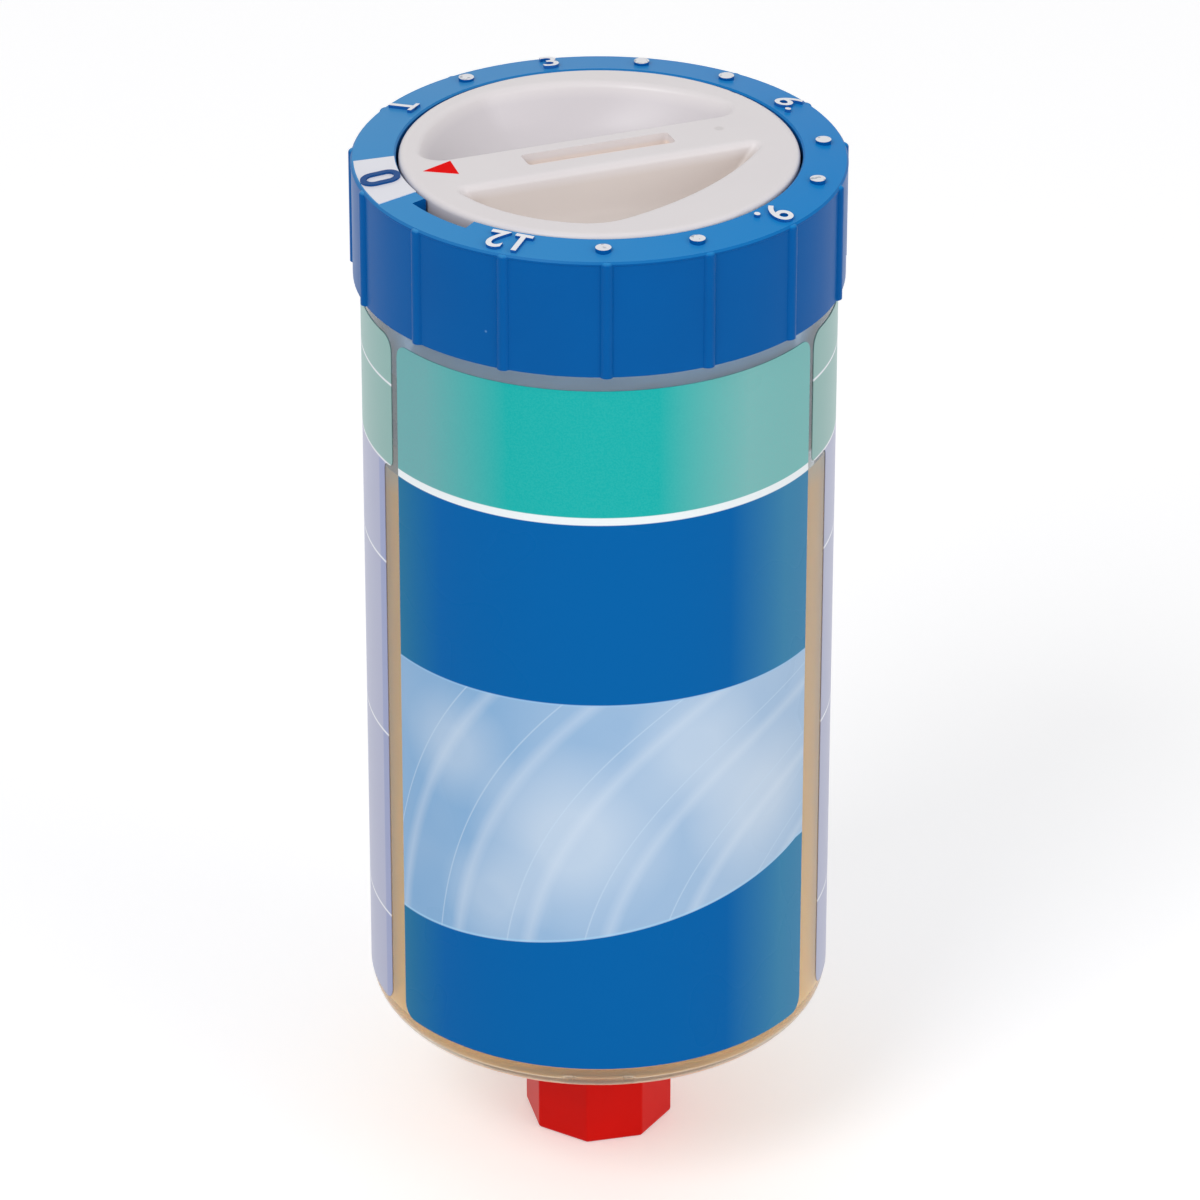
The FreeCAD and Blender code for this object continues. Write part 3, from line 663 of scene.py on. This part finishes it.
def make_thread():
    """Helical thread ridge of the outlet nozzle."""
    crest = CREST_RADIUS - THREAD_SINK / 2.0
    root = core_radius - THREAD_SINK
    root_half = THREAD_PITCH / 2.0 * 0.9
    crest_half = THREAD_PITCH / 2.0 * 0.25
    start = nozzle_end + THREAD_START
    steps = STEPS_PER_TURN * THREAD_TURNS
    bm = bmesh.new()
    profile = [(root, -root_half), (crest, -crest_half), (crest, crest_half), (root, root_half)]
    corners = [bm.verts.new((radius, 0.0, start + height)) for radius, height in profile]
    face = bm.faces.new(corners)
    rise = Vector((0.0, 0.0, THREAD_PITCH * THREAD_TURNS / steps))
    bmesh.ops.spin(
        bm, geom=[face], cent=(0, 0, 0), axis=(0, 0, 1), dvec=rise,
        angle=2.0 * math.pi * THREAD_TURNS, steps=steps, use_merge=False, use_duplicate=False,
    )
    bmesh.ops.recalc_face_normals(bm, faces=bm.faces)
    piece("outlet_thread", bm, [clear], "canister")


def make_grease():
    """Charge of grease that wets the clear wall and floor."""
    low = floor_top - GREASE_FILM
    high = grease_high.z - GREASE_FILM
    radius = bore_radius + GREASE_FILM
    corner = FLOOR_CORNER_RADIUS
    outline = [(0.0, low)]
    outline += arc(radius - corner, low + corner, corner, -90.0, 0.0, 8)
    outline += [(radius, high), (0.0, high)]
    bm = spun(outline, closed=False)
    made = piece("grease_charge", bm, [grease_gel()], "canister")
    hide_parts("grease")
    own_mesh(made)


def make_label(name, node, corners, material):
    """Label film on the wall, from the (degrees, height) corners of its sheet.

    The flat sheet is rounded at its corners, cut into upright strips, wrapped and thickened.
    """
    radius = body_radius + LABEL_LIFT
    arc_length = math.radians(1.0) * radius
    turns = [turn for turn, z in corners]
    heights = [z for turn, z in corners]
    first_turn = min(turns)
    whole_turn = max(turns) - first_turn
    strips = int(whole_turn / LABEL_STRIP_ANGLE)
    bm = bmesh.new()
    bm.faces.new([bm.verts.new((turn * arc_length, z, 0.0)) for turn, z in corners])
    low, high = min(heights), max(heights)
    ends = [vert for vert in bm.verts if min(vert.co.y - low, high - vert.co.y) < 0.001]
    steps = [vert for vert in bm.verts if vert not in ends]
    for verts, rounding in ((ends, LABEL_CORNER), (steps, LABEL_STEP_ROUNDING)):
        if verts:
            bmesh.ops.bevel(
                bm, geom=verts, offset=rounding, offset_type="OFFSET",
                segments=6, profile=0.5, affect="VERTICES", material=-1,
            )
    for index in range(1, strips):
        turn = first_turn + whole_turn * index / strips
        everything = bm.verts[:] + bm.edges[:] + bm.faces[:]
        cut = (turn * arc_length, 0.0, 0.0)
        bmesh.ops.bisect_plane(bm, geom=everything, plane_co=cut, plane_no=(1, 0, 0), dist=0.0001)
    for vert in bm.verts:
        angle = vert.co.x / radius
        vert.co = (radius * math.sin(angle), -radius * math.cos(angle), vert.co.y)
    bmesh.ops.recalc_face_normals(bm, faces=bm.faces)
    level = Vector((1, 1, 0))
    if sum((face.calc_center_median() * level).dot(face.normal) for face in bm.faces) < 0:
        bmesh.ops.reverse_faces(bm, faces=bm.faces)
    bmesh.ops.solidify(bm, geom=bm.faces[:], thickness=-LABEL_THICKNESS)
    made = piece(name, bm, [material], "canister")
    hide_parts(node)


def ring_place(radius, angle):
    """Frame on the ring's sloping face: X to the reader's right, Y outwards, Z off the face."""
    turn = math.radians(angle)
    outwards = Vector((math.sin(turn), -math.cos(turn), -ring_slope)).normalized()
    aside = Vector((-math.cos(turn), -math.sin(turn), 0.0))
    off = aside.cross(outwards)
    height = ring_edge_z + (cap_radius - radius) * ring_slope
    origin = Vector((radius * math.sin(turn), -radius * math.cos(turn), height))
    matrix = Matrix((aside, outwards, off)).transposed().to_4x4()
    return Matrix.Translation(origin) @ matrix


def month_angle(month):
    return ZERO_ANGLE - FIRST_MONTH_ANGLE - (month - 1) * MONTH_STEP


def painted_tops(bm, up):
    """Gives the faces that look off the ring the first material, and the flanks the second."""
    for face in bm.faces:
        face.material_index = 0 if face.normal.dot(up) > FACES_UP else 1


def make_numeral(month):
    """Raised numeral of a month, its top painted white."""
    data = bpy.data.curves.new("numeral_text", "FONT")
    data.body = "%d." % month if month in (6, 9) else str(month)
    data.size = NUMERAL_HEIGHT * FONT_SIZE_PER_HEIGHT
    data.extrude = NUMERAL_RELIEF
    data.offset = NUMERAL_SWELL
    data.space_character = NUMERAL_SPACING
    data.align_x = "CENTER"
    data.resolution_u = 6
    holder = bpy.data.objects.new("numeral_text", data)
    bpy.context.scene.collection.objects.link(holder)
    bpy.context.view_layer.update()
    evaluated = holder.evaluated_get(bpy.context.evaluated_depsgraph_get())
    mesh = bpy.data.meshes.new_from_object(evaluated)
    bpy.data.objects.remove(holder)
    bm = bmesh.new()
    bm.from_mesh(mesh)
    bpy.data.meshes.remove(mesh)
    bmesh.ops.remove_doubles(bm, verts=bm.verts, dist=0.0005)
    heights = [vert.co.y for vert in bm.verts]
    middle = (min(heights) + max(heights)) / 2.0
    bmesh.ops.translate(bm, vec=(0.0, -middle, 0.0), verts=bm.verts)
    if month in (1, 12):
        base = min(heights) - middle
        stem = min(vert.co.x for vert in bm.verts if vert.co.y < base + 0.05)
        foot = bmesh.ops.create_cube(bm, size=1.0)["verts"]
        foot_size = (FOOT_LENGTH, NUMERAL_STROKE, 1.99 * NUMERAL_RELIEF)
        foot_middle = (stem + NUMERAL_STROKE / 2.0, base + NUMERAL_STROKE / 2.0, 0.0)
        bmesh.ops.scale(bm, vec=foot_size, verts=foot)
        bmesh.ops.translate(bm, vec=foot_middle, verts=foot)
    matrix = ring_place(NUMERAL_RADIUS, month_angle(month))
    bmesh.ops.transform(bm, matrix=matrix, verts=bm.verts)
    bmesh.ops.recalc_face_normals(bm, faces=bm.faces)
    painted_tops(bm, matrix.to_3x3() @ Vector((0, 0, 1)))
    piece("month_numeral_%d" % month, bm, [mark_white, mark_blue], "canister")


def make_zero():
    """Raised oval zero on the white plate."""
    bm = bmesh.new()
    bmesh.ops.create_circle(bm, cap_ends=True, segments=48, radius=ZERO_HALF_WIDTH)
    for vert in bm.verts:
        vert.co.y += math.copysign(ZERO_HALF_STRAIGHT, vert.co.y)
    inner = bmesh.ops.inset_region(
        bm, faces=bm.faces[:], thickness=ZERO_STROKE, use_boundary=True, use_even_offset=True,
    )
    middle = [face for face in bm.faces if face not in inner["faces"]]
    bmesh.ops.delete(bm, geom=middle, context="FACES")
    raised = bmesh.ops.extrude_face_region(bm, geom=bm.faces[:])
    moved = [item for item in raised["geom"] if isinstance(item, bmesh.types.BMVert)]
    bmesh.ops.translate(bm, vec=(0, 0, ZERO_THICKNESS), verts=moved)
    bmesh.ops.translate(bm, vec=(0, 0, -ZERO_SINK), verts=bm.verts)
    matrix = ring_place(ZERO_RADIUS, ZERO_ANGLE)
    bmesh.ops.transform(bm, matrix=matrix, verts=bm.verts)
    bmesh.ops.recalc_face_normals(bm, faces=bm.faces)
    piece("zero_mark", bm, [zero_blue], "canister")


make_container()
make_thread()
make_grease()
front_left = math.degrees(math.asin(label_low.x / body_radius))
front_right = math.degrees(math.asin(label_high.x / body_radius))
make_label("front_label_film", "front_label", [
    (front_left, label_low.z), (front_right, label_low.z),
    (front_right, label_high.z), (front_left, label_high.z),
], front_print())
band_low = label_high.z - REAR_BAND_HEIGHT
make_label("rear_label_film", "rear_label", [
    (REAR_LABEL[0], label_low.z), (REAR_LABEL[1], label_low.z),
    (REAR_LABEL[1], band_low), (REAR_BAND[1], band_low),
    (REAR_BAND[1], label_high.z), (REAR_BAND[0], label_high.z),
    (REAR_BAND[0], band_low), (REAR_LABEL[0], band_low),
], rear_print())
for month in (1, 3, 6, 9, 12):
    make_numeral(month)
make_zero()


def studio_floor():
    """Plain pale floor that keeps the object's shadow and meets the white background."""
    bm = bmesh.new()
    bmesh.ops.create_grid(bm, x_segments=1, y_segments=1, size=FLOOR_HALF_SIZE)
    mesh = bpy.data.meshes.new("studio_floor")
    bm.to_mesh(mesh)
    bm.free()
    floor = bpy.data.objects.new("studio_floor", mesh)
    bpy.context.scene.collection.objects.link(floor)
    shader = Shader("floor_white")
    rays = shader.tree.nodes.new("ShaderNodeLightPath")
    seen = Value(shader, rays.outputs["Is Camera Ray"])
    for kind in ("Is Glossy Ray", "Is Transmission Ray"):
        seen = seen.math("MAXIMUM", Value(shader, rays.outputs[kind]))
    floor.data.materials.append(shader.finish(
        Base_Color=(0.86, 0.86, 0.87, 1.0),
        Roughness=0.7,
        Emission_Color=(1.0, 1.0, 1.0, 1.0),
        Emission_Strength=seen * FLOOR_GLOW,
    ))


def camera():
    """Camera of the photograph."""
    data = bpy.data.cameras.new("camera")
    data.sensor_width = SENSOR
    data.lens = FOCAL_PIXELS / FRAME_PIXELS * SENSOR
    data.clip_start = 0.01
    made = bpy.data.objects.new("camera", data)
    bpy.context.scene.collection.objects.link(made)
    back = Vector((0.0, -math.cos(CAMERA_ELEVATION), math.sin(CAMERA_ELEVATION)))
    made.location = CAMERA_TARGET + back * CAMERA_DISTANCE
    aim = (-back).to_track_quat("-Z", "Y")
    made.rotation_euler = (aim @ Quaternion((0, 0, 1), CAMERA_ROLL)).to_euler()
    bpy.context.scene.camera = made


def lamp(name, place, size, power):
    """Round lamp at a place in metres, aimed at the object."""
    data = bpy.data.lights.new(name, "AREA")
    data.shape = "DISK"
    data.size = size
    data.energy = power
    made = bpy.data.objects.new(name, data)
    bpy.context.scene.collection.objects.link(made)
    made.location = place
    aim = CAMERA_TARGET - made.location
    made.rotation_euler = aim.to_track_quat("-Z", "Y").to_euler()


def studio_world():
    """White background for the camera, gloss and glass, and a soft even light for the rest."""
    made = bpy.data.worlds.new("studio")
    bpy.context.scene.world = made
    made.use_nodes = True
    tree = made.node_tree
    background = tree.nodes["Background"]
    background.inputs["Color"].default_value = (1.0, 1.0, 1.0, 1.0)
    rays = tree.nodes.new("ShaderNodeLightPath")
    seen = rays.outputs["Is Camera Ray"]
    for name in ("Is Glossy Ray", "Is Transmission Ray"):
        either = tree.nodes.new("ShaderNodeMath")
        either.operation = "MAXIMUM"
        tree.links.new(seen, either.inputs[0])
        tree.links.new(rays.outputs[name], either.inputs[1])
        seen = either.outputs[0]
    level = tree.nodes.new("ShaderNodeMapRange")
    level.inputs["To Min"].default_value = AMBIENT
    level.inputs["To Max"].default_value = 1.0
    tree.links.new(seen, level.inputs["Value"])
    tree.links.new(level.outputs["Result"], background.inputs["Strength"])


studio_floor()
camera()
studio_world()
lamp("key_lamp", place=(-0.45, -0.65, 0.85), size=0.5, power=4.0)
lamp("fill_lamp", place=(0.70, -0.55, 0.45), size=0.6, power=2.0)

bpy.context.scene.view_settings.view_transform = "Standard"
